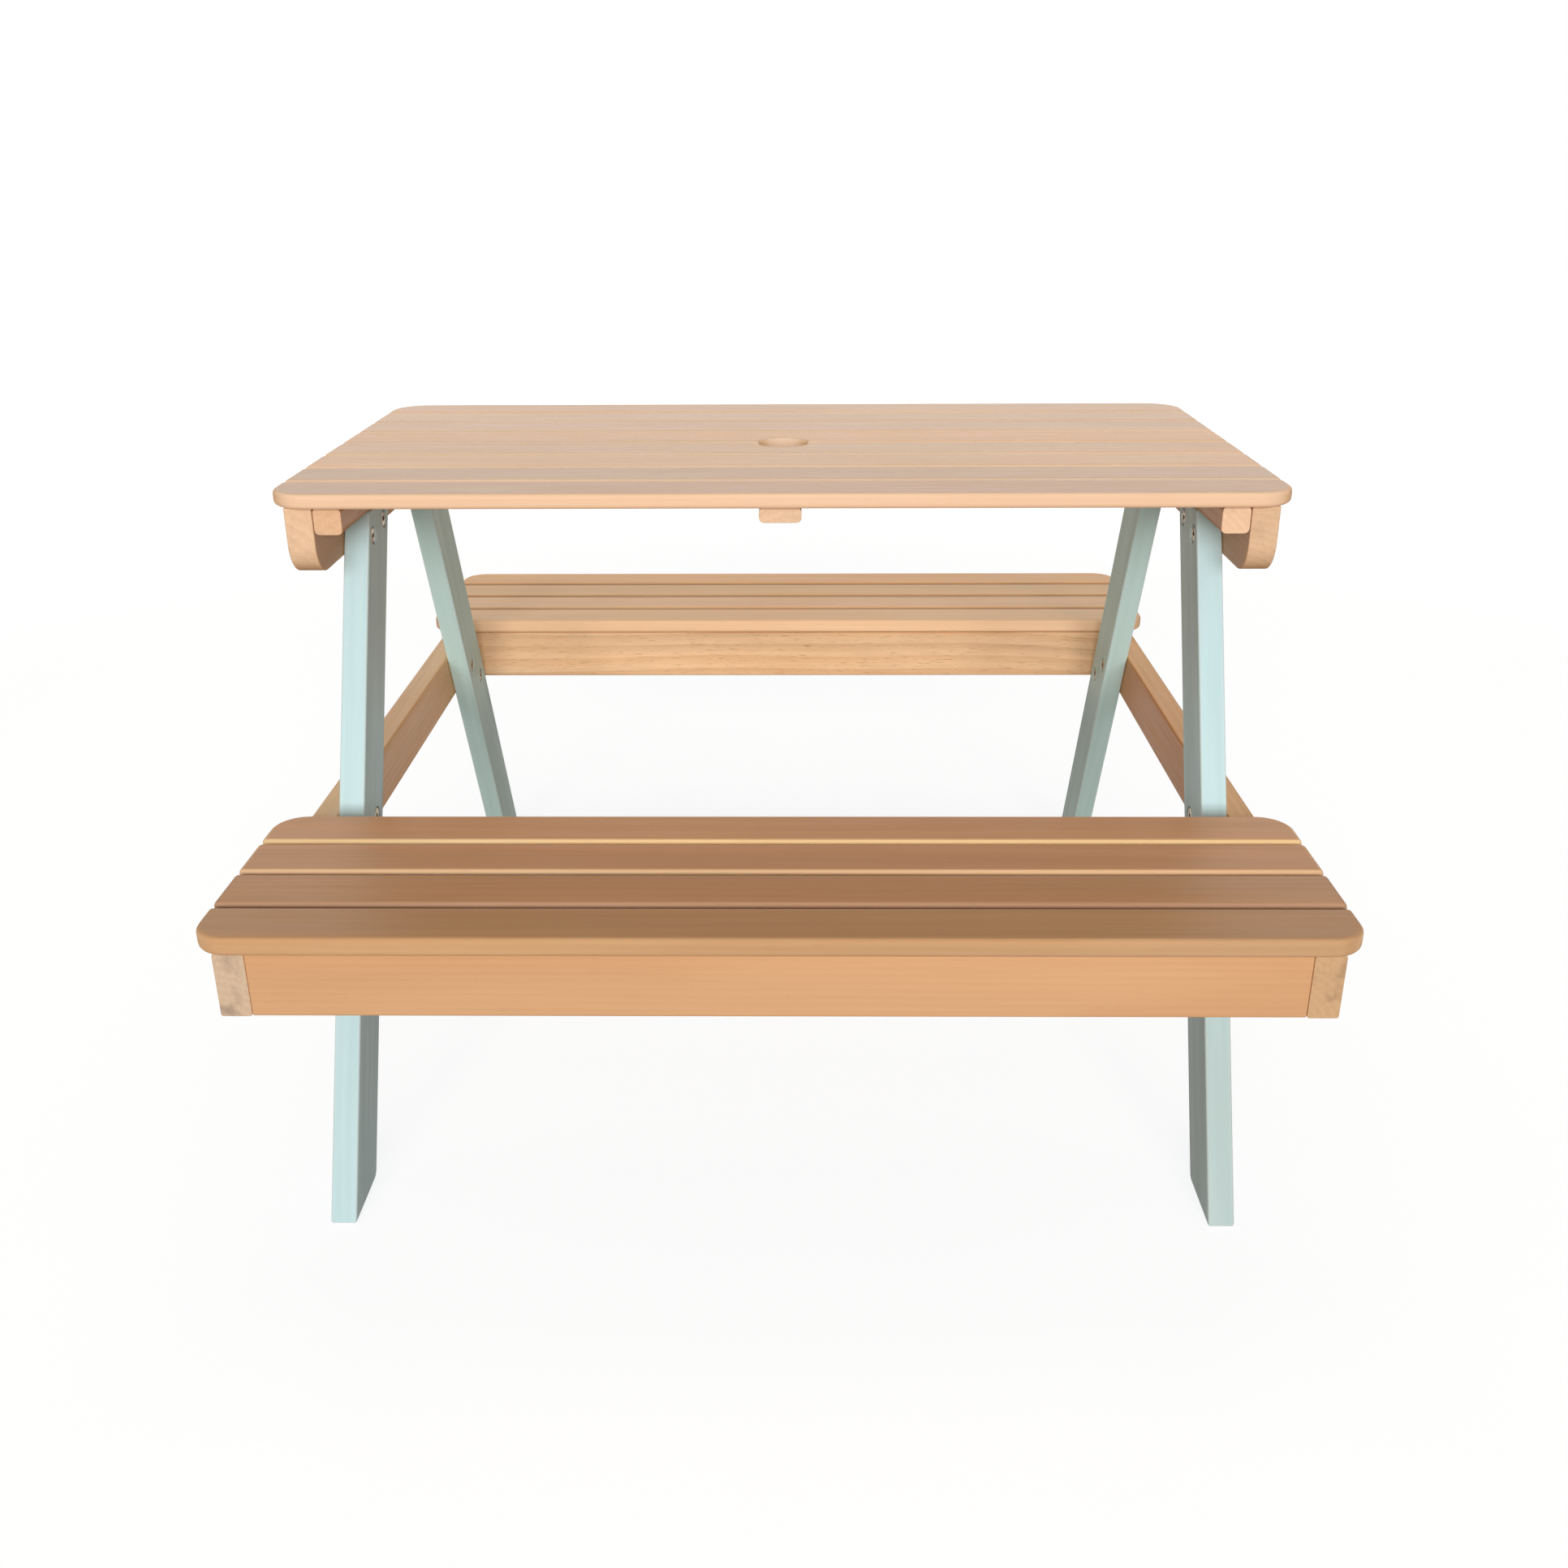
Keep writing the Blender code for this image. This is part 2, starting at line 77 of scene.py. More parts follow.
lens = bpy.data.cameras.new("picture_camera")
lens.sensor_fit = "HORIZONTAL"
lens.lens = FOCAL_LENGTH_IN_PIXELS / PICTURE_SIZE * lens.sensor_width
lens.shift_y = LENS_SHIFT_IN_PIXELS / PICTURE_SIZE
camera = bpy.data.objects.new("picture_camera", lens)
camera.matrix_world = Matrix.Translation(CAMERA_PLACE) @ Matrix((right, up, -ahead)).transposed().to_4x4()
bpy.context.scene.collection.objects.link(camera)
bpy.context.scene.camera = camera
bpy.context.scene.view_settings.view_transform = "Standard"
print("lens", round(lens.lens, 2), "mm")

# %% [markdown]
# ## Building materials from nodes
# A material is a small network. Writing one line per node and one per link gets long, so two
# helpers do both at once: an input is given either a plain value or another node's output.

# %% Helpers for nodes
def add(tree, kind, inputs=None, **settings):
    """Adds a node. An input takes a value, or the output of another node."""
    node = tree.nodes.new(kind)
    for key, value in settings.items():
        setattr(node, key, value)
    for key, value in (inputs or {}).items():
        if isinstance(value, bpy.types.NodeSocket):
            tree.links.new(value, node.inputs[key])
        else:
            node.inputs[key].default_value = value
    return node


def vectors(tree, operation, inputs):
    return add(tree, "ShaderNodeVectorMath", inputs, operation=operation)


def sums(tree, operation, *values):
    return add(tree, "ShaderNodeMath", dict(enumerate(values)), operation=operation).outputs[0]


def blend(tree, amount, first, second, mode="MIX"):
    inputs = {0: amount, 6: first, 7: second}
    return add(tree, "ShaderNodeMix", inputs, data_type="RGBA", blend_type=mode).outputs[2]


def remap(tree, value, low, high, to_low=0.0, to_high=1.0):
    inputs = {0: value, 1: low, 2: high, 3: to_low, 4: to_high}
    return add(tree, "ShaderNodeMapRange", inputs, interpolation_type="SMOOTHSTEP").outputs[0]


def noise(tree, vector, stretch, detail=2.0, roughness=0.5):
    """Noise whose patches are 1/stretch metres long along each direction."""
    scaled = vectors(tree, "MULTIPLY", {0: vector, 1: stretch})
    inputs = {"Vector": scaled.outputs[0], "Scale": 1.0, "Detail": detail, "Roughness": roughness}
    return add(tree, "ShaderNodeTexNoise", inputs)


def new_group(name, inputs, outputs):
    """A node group with named inputs (name, kind, value) and outputs (name, kind)."""
    group = bpy.data.node_groups.new(name, "ShaderNodeTree")
    for label, kind, value in inputs:
        socket = group.interface.new_socket(label, in_out="INPUT", socket_type=kind)
        socket.default_value = value
    for label, kind in outputs:
        group.interface.new_socket(label, in_out="OUTPUT", socket_type=kind)
    return group, add(group, "NodeGroupInput"), add(group, "NodeGroupOutput")


def linear(red, green, blue):
    """A colour given as 0 to 255 on the screen, as the light values that nodes use.

    The numbers are those of the standard curve for screens, which is straight near black.
    """
    shares = [value / 255 for value in (red, green, blue)]
    values = [s / 12.92 if s <= 0.04045 else ((s + 0.055) / 1.055) ** 2.4 for s in shares]
    return (*values, 1.0)


# %% [markdown]
# ## Wood grain as one group
# Sawn wood shows the tree's rings cut lengthwise, slow bands and clouds of lighter and darker wood,
# fine fibres, short dark pores and sometimes a ripple across the grain. A photograph of wood could
# be wrapped round each board, but it stretches on the ends. Solid noise is carved out of space
# instead, so the ends and the long faces fit together. The group expects a place measured along,
# across and through the board, with the heart of the tree at the zero line. It also gives the
# blotches of soaked oil and dirt that show on the ends.

# %% Make the grain group
FLOAT, VECTOR = "NodeSocketFloat", "NodeSocketVector"
RING_WIDTH, WANDER = 0.004, 0.02
DRIFT_STRETCH = (1.7, 5.0, 5.0)
NOISE_MIDDLE = (0.5, 0.5, 0.5)
ACROSS_ONLY = (0.0, 1.0, 1.0)
RING_DARKENS_FROM, RING_DARKENS_TO = 0.15, 0.9

# A mask is noise, given as its stretch, its detail, its roughness, and the two values that turn
# black and white. Some masks follow the bent grain and some the straight board.
BENT_MASKS = {
    "Bands": ((1.0, 42.0, 42.0), 2.0, 0.45, 0.32, 0.68),
    "Clouds": ((3.5, 16.0, 16.0), 2.0, 0.5, 0.35, 0.65),
    "Ripple": ((34.0, 70.0, 70.0), 3.0, 0.5, 0.4, 0.7),
}
STRAIGHT_MASKS = {
    "Fibres": ((10.0, 420.0, 420.0), 3.0, 0.6, 0.3, 0.7),
    "Pores": ((75.0, 1300.0, 1300.0), 1.0, 0.5, 0.64, 0.74),
    "Blotches": ((25.0, 60.0, 60.0), 2.0, 0.5, 0.45, 0.75),
}


def add_masks(tree, vector, masks, there):
    """Adds each named mask and links it to the group's output of that name."""
    for name, (stretch, detail, roughness, black, white) in masks.items():
        value = noise(tree, vector, stretch, detail, roughness).outputs[0]
        tree.links.new(remap(tree, value, black, white), there.inputs[name])


grain_group, here, there = new_group(
    "board grain",
    [("Place", VECTOR, (0, 0, 0)), ("Ring Width", FLOAT, RING_WIDTH), ("Wander", FLOAT, WANDER)],
    [(name, FLOAT) for name in ("Rings", *BENT_MASKS, *STRAIGHT_MASKS)],
)
tree, place = grain_group, here.outputs["Place"]
drift = noise(tree, place, DRIFT_STRETCH, 1.0).outputs["Color"]
drift = vectors(tree, "SUBTRACT", {0: drift, 1: NOISE_MIDDLE}).outputs[0]
drift = vectors(tree, "SCALE", {0: drift, "Scale": here.outputs["Wander"]}).outputs[0]
bent = vectors(tree, "ADD", {0: place, 1: drift}).outputs[0]
from_heart = vectors(tree, "MULTIPLY", {0: bent, 1: ACROSS_ONLY}).outputs[0]
radius = vectors(tree, "LENGTH", {0: from_heart}).outputs["Value"]
along_ring = sums(tree, "FRACT", sums(tree, "DIVIDE", radius, here.outputs["Ring Width"]))
late = remap(tree, along_ring, RING_DARKENS_FROM, RING_DARKENS_TO)
early = remap(tree, along_ring, RING_DARKENS_TO, 1.0, 1.0, 0.0)
tree.links.new(sums(tree, "MULTIPLY", late, early), there.inputs["Rings"])
add_masks(tree, bent, BENT_MASKS, there)
add_masks(tree, place, STRAIGHT_MASKS, there)
print("grain group:", len(grain_group.nodes), "nodes")

# %% [markdown]
# ## Which way a surface faces
# End grain drinks more oil and looks greyer. The sides of a slat take colours of their own, which are
# painted light and shade, and the rounded edges are handled most and on the slats and legs take
# painted light. All three can be told from the surface's direction: on an end it points along the
# board, on a side across it, and on a rounded edge between two sides, where the largest of its three
# shares falls below 1.

# %% Make the facing group
END_FROM, END_TO = 0.4, 0.95
SIDE_FROM, SIDE_TO = 0.35, 0.85
EDGE_FROM, EDGE_TO = 0.998, 0.965

facing_group, here, there = new_group(
    "board faces",
    [("Direction", VECTOR, (0, 0, 1))],
    [("End", FLOAT), ("Side", FLOAT), ("Edge", FLOAT)],
)
tree = facing_group
sizes = vectors(tree, "ABSOLUTE", {0: here.outputs["Direction"]}).outputs[0]
along, across, through = add(tree, "ShaderNodeSeparateXYZ", {0: sizes}).outputs
largest = sums(tree, "MAXIMUM", sums(tree, "MAXIMUM", along, across), through)
tree.links.new(remap(tree, along, END_FROM, END_TO), there.inputs["End"])
tree.links.new(remap(tree, across, SIDE_FROM, SIDE_TO), there.inputs["Side"])
tree.links.new(remap(tree, largest, EDGE_FROM, EDGE_TO), there.inputs["Edge"])
print("facing group:", len(facing_group.nodes), "nodes")

# %% [markdown]
# ## Measuring along a board
# The grain group needs to know which way the board runs. A Mapping node turns the object's own
# coordinates so that the first one runs along the board, and puts the heart of the tree beside or
# below it, which decides if the rings run as straight lines or as long arches.

# %% Place and direction on a board
ALONG_X = (0.0, 0.0, 0.0)
ALONG_Y = (0.0, 0.0, -math.pi / 2)


def board_place(tree, node, turn, heart):
    """Place and direction on a board, measured along, across and through it from the heart."""
    low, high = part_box(node)
    middle = Euler(turn).to_matrix() @ ((low + high) / 2)
    spot = add(tree, "ShaderNodeTexCoord").outputs["Object"]
    inputs = {"Vector": spot, "Rotation": turn, "Location": Vector(heart) - middle}
    place = add(tree, "ShaderNodeMapping", inputs).outputs[0]
    normal = add(tree, "ShaderNodeNewGeometry").outputs["Normal"]
    inputs = {"Vector": normal, "Rotation": turn}
    return place, add(tree, "ShaderNodeMapping", inputs, vector_type="NORMAL").outputs[0]


def add_group(tree, group, inputs):
    return add(tree, "ShaderNodeGroup", inputs, node_tree=group).outputs


def new_material(name):
    material = bpy.data.materials.new(name)
    material.use_nodes = True
    return material, material.node_tree, material.node_tree.nodes["Principled BSDF"]


def add_bump(tree, shader, height, strength, depth):
    bump = add(tree, "ShaderNodeBump", {"Height": height, "Strength": strength, "Distance": depth})
    tree.links.new(bump.outputs[0], shader.inputs["Normal"])


def wear(node, material):
    """Gives a modelled piece this material and no other."""
    pieces[node].data.materials.clear()
    pieces[node].data.materials.append(material)


# %% [markdown]
# ## Oiled wood
# Each board comes from another part of a tree, so each gets a material of its own: the same
# network with another place in the tree and its own colours for face, sides and ends. The network
# starts from the face's colour and lays darker rings, greyer bands and clouds, a paler ripple,
# fibres and pores over it. The shine is that of thin oil, duller in the fibres, on the ends and
# where the edges are handled.

# %% Oiled wood
# A colour's red, green and blue are multiplied by these, on worn edges or where a mask is white.
UNCHANGED = (1.0, 1.0, 1.0)
DEEPER = (0.80, 0.70, 0.60)
GREYER = (0.84, 0.91, 1.00)
OILED = (0.90, 0.85, 0.79)
CLOUDED = (0.90, 0.86, 0.81)
SILKY = (1.10, 1.11, 1.10)
PORE_DARK = (0.50, 0.40, 0.32)
SMUDGE = (0.66, 0.66, 0.70)

END_FIBRES = 0.3
PLACE_ALONG_TREE = (0, 9)
HEART_BESIDE = (0.01, 0.06)
HEART_BELOW = (0.03, 0.1)

# Added to the roughness between and on the fibres, on the ends and on the edges.
SMOOTHER, ROUGHER = -0.04, 0.06
DULL_END, DULL_EDGE = 0.2, 0.3

# Heights, where that of a fibre is 1, and how many metres 1 stands for.
PORE_HEIGHT, RING_HEIGHT = -0.6, -0.3
GRAIN_DEPTH = 0.0001


def tinted(colour, shares):
    return (*[min(1.0, value * share) for value, share in zip(colour, shares)], 1.0)


def laid_over(tree, colour, mask, strength, over):
    return blend(tree, sums(tree, "MULTIPLY", mask, strength), colour, over)


def shaded(tree, colour, mask, strength, shares):
    """The colour multiplied by three shares, where the mask is white."""
    return blend(tree, sums(tree, "MULTIPLY", mask, strength), colour, (*shares, 1.0), "MULTIPLY")


def oiled_wood(node, turn, look):
    """A wood material for one board. look holds its colours and how strongly each mask shows."""
    material, tree, shader = new_material("oiled wood, " + node.replace("_", " "))
    dice = random.Random(node)
    along = dice.uniform(*PLACE_ALONG_TREE)
    beside = dice.choice((-1, 1)) * dice.uniform(*HEART_BESIDE)
    below = dice.uniform(*HEART_BELOW)
    place, direction = board_place(tree, node, turn, (along, beside, below))
    ring_width = dice.uniform(*look["ring_width"])
    inputs = {"Place": place, "Ring Width": ring_width, "Wander": look["wander"]}
    grain = add_group(tree, grain_group, inputs)
    faces = add_group(tree, facing_group, {"Direction": direction})

    base, side, end = [linear(*look[key]) for key in ("colour", "side", "end")]
    # On the slats the sides' colour, also laid over the rounded edges, is painted light and shade.
    colour = blend(tree, faces["Side"], base, side)
    colour = laid_over(tree, colour, faces["Edge"], look["edge"], tinted(side, look["edge_tint"]))
    colour = shaded(tree, colour, grain["Rings"], look["rings"], DEEPER)
    colour = shaded(tree, colour, grain["Bands"], look["bands"], GREYER)
    colour = shaded(tree, colour, grain["Clouds"], look["clouds"], CLOUDED)
    colour = shaded(tree, colour, grain["Ripple"], look["ripple"], SILKY)
    colour = shaded(tree, colour, grain["Fibres"], look["fibres"], DEEPER)
    colour = shaded(tree, colour, grain["Pores"], look["pores"], PORE_DARK)

    ends = laid_over(tree, end, grain["Blotches"], look["smudges"], tinted(end, SMUDGE))
    ends = shaded(tree, ends, grain["Rings"], look["end_rings"], DEEPER)
    ends = shaded(tree, ends, grain["Fibres"], END_FIBRES, DEEPER)
    colour = blend(tree, faces["End"], colour, ends)
    tree.links.new(colour, shader.inputs["Base Color"])

    rough = remap(tree, grain["Fibres"], 0.0, 1.0, look["rough"] + SMOOTHER, look["rough"] + ROUGHER)
    rough = sums(tree, "MULTIPLY_ADD", faces["End"], DULL_END, rough)
    rough = sums(tree, "MULTIPLY_ADD", faces["Edge"], DULL_EDGE, rough)
    tree.links.new(rough, shader.inputs["Roughness"])
    height = sums(tree, "MULTIPLY_ADD", grain["Pores"], PORE_HEIGHT, grain["Fibres"])
    height = sums(tree, "MULTIPLY_ADD", grain["Rings"], RING_HEIGHT, height)
    add_bump(tree, shader, height, look["bump"], GRAIN_DEPTH)
    return material


# %% [markdown]
# ## The top
# Eight slats make the top. The two in front are greyer and the three at the back paler. The sides
# and rounded edges are painted pale, and the front one's side palest, which is painted light. The
# oil is smooth and shines at a low angle, which is why the top looks lighter than the benches. One
# set of values holds the look, and the other kinds of board start from it and change some.

# %% Top slats
# The pale colour of the sides and rounded edges is painted light, so the gaps look like the shining top.
TOP_SLAT = {
    "side": (232, 202, 174), "end": (236, 196, 154), "smudges": 0.2,
    "edge": 0.8, "edge_tint": UNCHANGED,
    "rings": 0.06, "ring_width": (0.005, 0.009), "end_rings": 0.2, "wander": WANDER,
    "bands": 0.6, "clouds": 0.4, "ripple": 0.0, "fibres": 0.06, "pores": 0.05,
    "bump": 0.1, "rough": 0.3,
}
# The front slat's side, which faces the front lamp, is painted palest: painted light.
FRONT_SIDE_PAINTED_LIGHT = (252, 211, 173)
TOP_SLAT_COLOURS = [
    (226, 181, 139), (229, 185, 142), (252, 197, 141), (248, 196, 144),
    (252, 195, 138), (246, 199, 153), (248, 203, 156), (249, 200, 153),
]
for number, colour in enumerate(TOP_SLAT_COLOURS, 1):
    name = f"top_slat_{number}"
    side = FRONT_SIDE_PAINTED_LIGHT if number == 1 else TOP_SLAT["side"]
    wear(name, oiled_wood(name, ALONG_X, {**TOP_SLAT, "colour": colour, "side": side}))
print(len(TOP_SLAT_COLOURS), "top slats")

# %% [markdown]
# ## The benches
# Each bench has four slats of the same wood, numbered from the table outwards. The front ones are a
# little browner than the top and are painted darker from the table outwards, which is painted shade,
# and the oil is drier on both benches. Between the front bench's slats the sides are painted pale and
# golden, which is painted light, and between the rear bench's they are painted dark, which is painted
# shade.

# %% Bench slats
BENCH_SLAT = {
    **TOP_SLAT, "rings": 0.15, "bands": 0.5, "clouds": 0.5, "fibres": 0.14, "pores": 0.12, "rough": 0.4,
}
# Dark sides with no pale edges are painted shade in the rear bench's gaps.
GAP_PAINTED_SHADE = {"edge": 0.0, "side": (194, 154, 120)}
# The front slats darken from the table outwards, which is painted shade, and the sides' colours are
# painted light and shade: golden in the front bench's first gaps, pale on the rear bench's first slat.
BENCH_SLAT_LOOKS = {
    "front": [
        {"colour": (222, 165, 114), "side": (255, 221, 168)},
        {"colour": (211, 154, 105), "side": (243, 202, 157)},
        {"colour": (203, 149, 99), "side": (196, 155, 124)},
        {"colour": (198, 147, 98), "side": (210, 165, 120)},
    ],
    "rear": [
        {"colour": (250, 203, 147), "side": (255, 213, 171)},
        {"colour": (249, 201, 147), **GAP_PAINTED_SHADE},
        {"colour": (245, 197, 137), **GAP_PAINTED_SHADE},
        {"colour": (255, 196, 130), **GAP_PAINTED_SHADE},
    ],
}
for end, looks in BENCH_SLAT_LOOKS.items():
    for number, look in enumerate(looks, 1):
        name = f"{end}_seat_slat_{number}"
        wear(name, oiled_wood(name, ALONG_X, {**BENCH_SLAT, **look}))
    print(len(looks), end, "bench slats")

# %% [markdown]
# ## The frame
# Thicker boards carry the slats: long aprons under the benches, and rails, supports, battens and
# cleats across them. They are sawn from plainer wood, apart from the rear bench's aprons, whose
# figure is strong, and most of them show their ends, where the oil has soaked in. The flanks of
# the seat supports are painted deeper in colour than their upper faces, the right one most, which
# is painted shade.

# %% Aprons, rails, supports, battens and cleats
FRAME_BOARD = {
    **TOP_SLAT, "colour": (221, 176, 134), "end": (230, 195, 159), "smudges": 0.25,
    "edge": 0.2, "edge_tint": OILED, "rings": 0.2, "bands": 0.45, "clouds": 0.6, "ripple": 0.08,
    "fibres": 0.2, "pores": 0.25, "bump": 0.25, "rough": 0.5,
}
PLAIN = {"rings": 0.1, "bands": 0.3, "fibres": 0.12, "pores": 0.12}
FIGURED = {
    "rings": 0.5, "ring_width": (0.012, 0.014), "wander": 0.06,
    "bands": 0.7, "ripple": 0.4, "fibres": 0.3, "pores": 0.6,
}
OWN_LOOK = {
    "front_seat_outer_apron": {"colour": (222, 172, 126), **PLAIN},
    "rear_seat_outer_apron": {"colour": (216, 171, 128), **FIGURED},
    "rear_seat_inner_apron": {"colour": (249, 207, 163), **FIGURED},
    # The flanks are painted deeper, the right one most: painted shade.
    "seat_support_left": {
        "colour": (255, 213, 163), "painted_shade_flank": (255, 205, 148), "end": (216, 190, 162), "smudges": 1.0,
    },
    "seat_support_right": {
        "colour": (255, 199, 140), "painted_shade_flank": (224, 161, 102), "end": (213, 175, 134), "smudges": 0.8,
    },
    "top_batten_left": {"end": (236, 195, 157)},
    "top_batten_right": {"end": (246, 210, 175)},
    "top_batten_centre_front": {"end": (240, 208, 174)},
    "top_rail_left": {"end": (240, 205, 169)},
}
CROSSWISE = ("top_rail", "top_batten", "seat_support", "front_seat_cleat", "rear_seat_cleat")
for name in sorted(pieces):
    crosswise = name.startswith(CROSSWISE)
    if crosswise or "apron" in name:
        look = {**FRAME_BOARD, **OWN_LOOK.get(name, {})}
        look["side"] = look.get("painted_shade_flank", look["colour"])
        wear(name, oiled_wood(name, ALONG_Y if crosswise else ALONG_X, look))
print("wood materials:", len([m for m in bpy.data.materials if m.name.startswith("oiled")]))

# %% [markdown]
# ## Painted legs
# The legs are the same wood under an eggshell paint. The paint hides the colour of the wood and
# keeps a trace of its grain, with soft lap marks from the brush, a thin, rubbed coat in small
# scuffs, and paler edges, which are a painted highlight. The laps and scuffs are a group of their
# own, because all four legs use them. The paint is darker towards the ground, most of all on one
# leg, which is painted shade. The rear legs' paint is tinted a little greener, which paints in light
# bounced off the wood. The legs lean, so their coordinates are turned by the lean first.

# %% Brush marks
BRUSH_MASKS = {
    "Laps": ((5.0, 120.0, 120.0), 2.0, 0.5, 0.35, 0.65),
    "Scuffs": ((28.0, 190.0, 190.0), 4.0, 0.7, 0.68, 0.74),
}

brush_group, here, there = new_group(
    "brushed paint",
    [("Place", VECTOR, (0, 0, 0))],
    [(name, FLOAT) for name in BRUSH_MASKS],
)
add_masks(brush_group, here.outputs["Place"], BRUSH_MASKS, there)
print("brush group:", len(brush_group.nodes), "nodes")

# %% Painted legs
LEG_LEAN = math.radians(26.1)
HEART_BESIDE_LEG, HEART_BELOW_LEG = 0.03, 0.05
PAINT = linear(202, 231, 235)
PAINT_LAP = linear(194, 223, 226)
# Paler paint for the scuffs, and for the edges as a painted highlight.
PAINT_SCUFFED_AND_HIGHLIT = linear(222, 238, 236)
# The rear legs' greener tint paints in light bounced off the wood.
PAINTED_BOUNCE_TINT = (1.04, 1.04, 0.96)
# Darker towards the ground, most on the front right leg: painted shade.
PAINTED_LOW_SHADE = (0.90, 0.82, 0.77)
LOW_SHADE_FROM_HEIGHT, LOW_SHADE_FULL_HEIGHT = 0.32, 0.08
MUCH_LOW_SHADE, LITTLE_LOW_SHADE = 0.9, 0.15
# The edges' share of the paler paint is a painted highlight.
LAPS_SHOW, PAINTED_EDGE_HIGHLIGHT, SCUFFS_SHOW = 0.6, 0.4, 0.6
PAINT_ROUGHNESS, LAP_ROUGHNESS = 0.5, 0.6
RING_UNDER_PAINT, LAP_HEIGHT = 0.6, 0.8
PAINT_BUMP = 0.25
PAINT_SHINE = 0.4


def leg_paint(node, turn, tint, low_shade):
    material, tree, shader = new_material("eggshell paint, " + node.replace("_", " "))
    place, direction = board_place(tree, node, turn, (len(node), HEART_BESIDE_LEG, HEART_BELOW_LEG))
    grain = add_group(tree, grain_group, {"Place": place})
    faces = add_group(tree, facing_group, {"Direction": direction})
    marks = add_group(tree, brush_group, {"Place": place})

    laps = sums(tree, "MULTIPLY", marks["Laps"], LAPS_SHOW)
    colour = blend(tree, laps, tinted(PAINT, tint), tinted(PAINT_LAP, tint))
    # Paler edges are a painted highlight; the scuffs are real wear.
    colour = laid_over(tree, colour, faces["Edge"], PAINTED_EDGE_HIGHLIGHT, PAINT_SCUFFED_AND_HIGHLIT)
    colour = laid_over(tree, colour, marks["Scuffs"], SCUFFS_SHOW, PAINT_SCUFFED_AND_HIGHLIT)
    # The paint darkens towards the ground: painted shade.
    spot = add(tree, "ShaderNodeTexCoord").outputs["Object"]
    above_ground = add(tree, "ShaderNodeSeparateXYZ", {0: spot}).outputs[2]
    low_shade_mask = remap(tree, above_ground, LOW_SHADE_FROM_HEIGHT, LOW_SHADE_FULL_HEIGHT)
    colour = shaded(tree, colour, low_shade_mask, low_shade, PAINTED_LOW_SHADE)
    tree.links.new(colour, shader.inputs["Base Color"])

    rough = remap(tree, marks["Laps"], 0.0, 1.0, PAINT_ROUGHNESS, LAP_ROUGHNESS)
    tree.links.new(rough, shader.inputs["Roughness"])
    height = sums(tree, "MULTIPLY", marks["Laps"], LAP_HEIGHT)
    height = sums(tree, "MULTIPLY_ADD", grain["Rings"], RING_UNDER_PAINT, height)
    add_bump(tree, shader, height, PAINT_BUMP, GRAIN_DEPTH)
    shader.inputs["Specular IOR Level"].default_value = PAINT_SHINE
    return material


for name in sorted(pieces):
    if name.startswith("leg_"):
        lean = LEG_LEAN if "front" in name else -LEG_LEAN
        # The rear legs get the tint of painted bounced light.
        tint = UNCHANGED if "front" in name else PAINTED_BOUNCE_TINT
        # The front right leg gets the most painted shade near the ground.
        low_shade = MUCH_LOW_SHADE if name == "leg_front_right" else LITTLE_LOW_SHADE
        wear(name, leg_paint(name, (lean, math.pi / 2, 0.0), tint, low_shade))
print("painted", len([m for m in bpy.data.materials if m.name.startswith("eggshell")]), "legs")

# %% [markdown]
# ## Bolts
# Flat yellow-plated heads with a six-sided socket hold the legs. Plating is metal with fine
# scratches, dulled in patches, and one group makes both for the bolts and the screws. A bolt's
# socket and the foot of its head are darkened, partly with dirt and partly with painted shade. Both
# lie deeper in the wood than the head's face, so the distance from the middle of the table tells
# where the darkening is.

# %% Patches and scratches
PLATING_MASKS = {"Patches": ((220.0, 220.0, 220.0), 3.0, 0.5, 0.35, 0.7)}
SCRATCH_STRETCH = (2500.0, 900.0, 300.0)

plating_group, here, there = new_group(
    "worn plating",
    [("Place", VECTOR, (0, 0, 0))],
    [("Patches", FLOAT), ("Scratches", FLOAT)],
)
add_masks(plating_group, here.outputs["Place"], PLATING_MASKS, there)
scratches = noise(plating_group, here.outputs["Place"], SCRATCH_STRETCH).outputs[0]
plating_group.links.new(scratches, there.inputs["Scratches"])
print("plating group:", len(plating_group.nodes), "nodes")

# %% Bolt plating
bolts = [name for name in sorted(pieces) if name.startswith("bolt_")]
HEAD_FACE_FROM_MIDDLE = min(abs(corner.x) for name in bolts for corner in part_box(name))
# Where the socket and the foot of the head darken: partly dirt, partly painted shade.
DIRT_AND_SHADE_FROM_FACE = 0.0005
DIRT_AND_SHADE_DEEPENS_OVER = 0.0002
DIRT_ROUGHNESS = 0.3
PATCH_ROUGHNESS = 0.5
WORN_FROM, WORN_TO = 0.3, 1.1
POLISHED, DULLED = 0.28, 0.5
SCRATCH_BUMP = 0.2
SCRATCH_DEPTH = 0.00005


